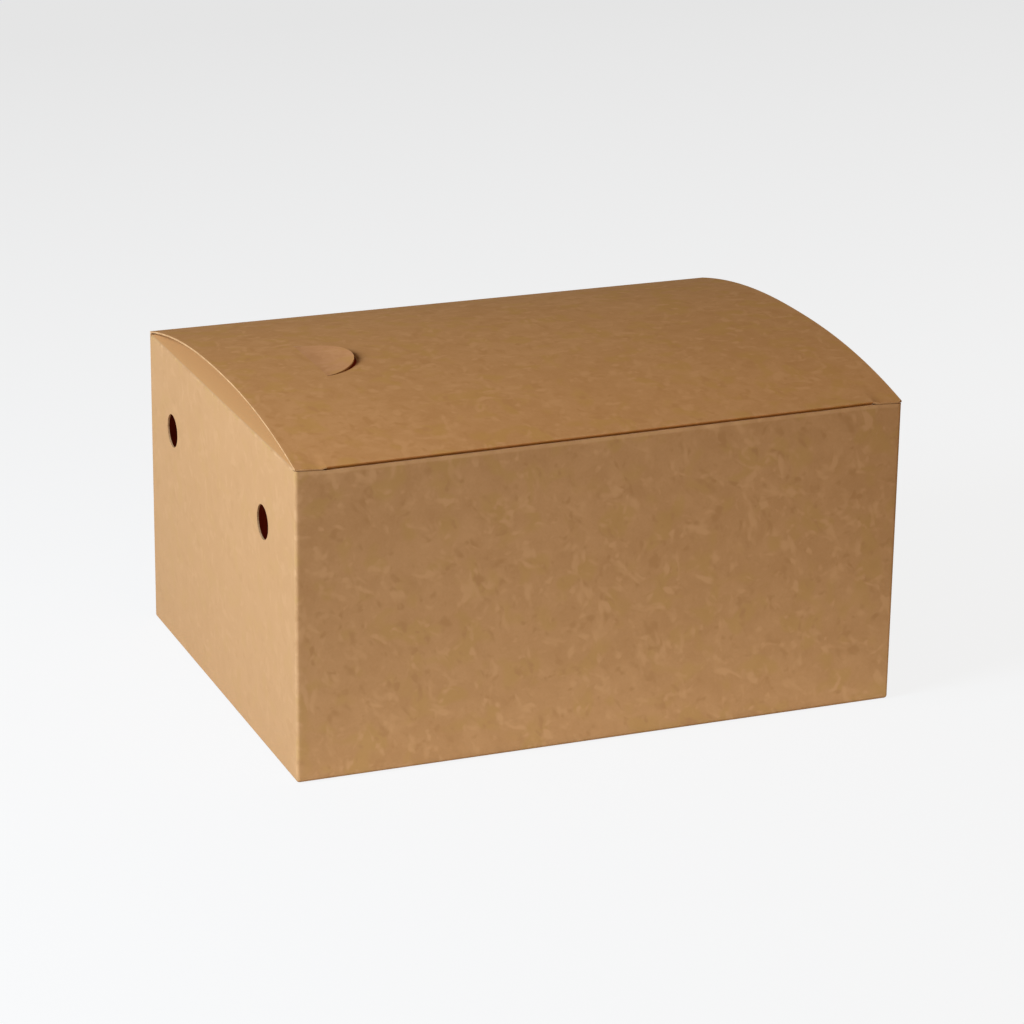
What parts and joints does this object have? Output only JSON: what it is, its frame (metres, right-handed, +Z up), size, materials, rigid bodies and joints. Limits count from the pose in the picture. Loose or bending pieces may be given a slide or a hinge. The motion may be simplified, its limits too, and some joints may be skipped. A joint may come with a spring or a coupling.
{
  "type": "snack box",
  "caption": "Kraft board take-away snack box with an arched tuck-in lid hinged at the back, a half-moon steam tab and round vents in its end walls.",
  "frame": {"origin": "under the middle of the box, on the surface it stands on", "axes": "+X along the length to the right as seen from the front, +Y towards the back wall that carries the lid's hinge, +Z up"},
  "size_m": [0.181, 0.137, 0.1001],
  "materials": {
    "kraft_board": "matt uncoated kraft, faint fibre flecks, pale cut edges",
    "kraft_lid": "matt uncoated kraft, faint fibre flecks, pale cut edges",
    "kraft_tab": "matt uncoated kraft, faint fibre flecks, pale cut edges"
  },
  "bodies": {
    "carton": {"carton": "kraft_board"},
    "lid": {"lid": "kraft_lid"},
    "steam_tab": {"steam_tab": "kraft_tab"}
  },
  "joints": [
    {"name": "lid_hinge", "type": "hinge", "parent": "carton", "child": "lid", "pos_m": [0, 0.06865, 0.0901], "axis": [-1, 0, 0], "range_deg": [0, 180]},
    {"name": "steam_tab_hinge", "type": "hinge", "parent": "lid", "child": "steam_tab", "pos_m": [-0.063, 0, 0.09871], "axis": [0, -1, 0], "range_deg": [-6, 84]}
  ]
}
